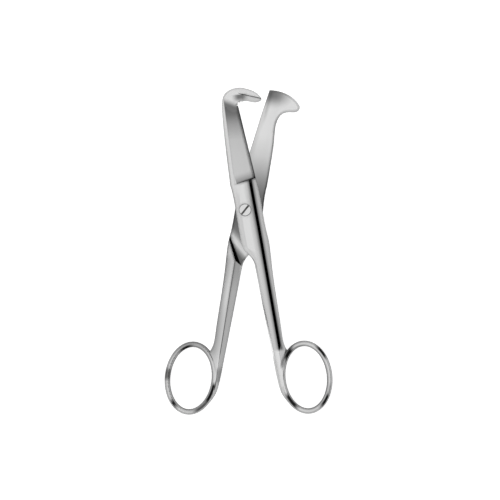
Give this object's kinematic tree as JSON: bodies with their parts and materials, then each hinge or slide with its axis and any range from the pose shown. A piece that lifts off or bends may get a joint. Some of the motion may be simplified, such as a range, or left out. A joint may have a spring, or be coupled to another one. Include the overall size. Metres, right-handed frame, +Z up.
{
  "type": "umbilical cord scissors",
  "caption": "Open steel scissors with finger rings, a hooked blade, a blade with a crescent end, and a slotted pivot screw, for cutting an umbilical cord.",
  "frame": {"origin": "on the pivot screw's axis, in the plane on which the scissors lie", "axes": "+Y from the pivot towards the tips, midway between the open blades; +Z up, along the pivot screw's axis towards its slotted head"},
  "size_m": [0.081, 0.1575, 0.0054],
  "materials": {
    "halves": "satin blades, polished shanks and rings",
    "screw": "satin"
  },
  "bodies": {
    "crescent_side": {"crescent_half": "halves", "pivot_screw": "screw"},
    "hook_side": {"hook_half": "halves"}
  },
  "joints": [
    {"name": "pivot", "type": "hinge", "parent": "crescent_side", "child": "hook_side", "pos_m": [0, 0, 0.0027], "axis": [0, 0, 1], "range_deg": [-14.5, 90]}
  ]
}
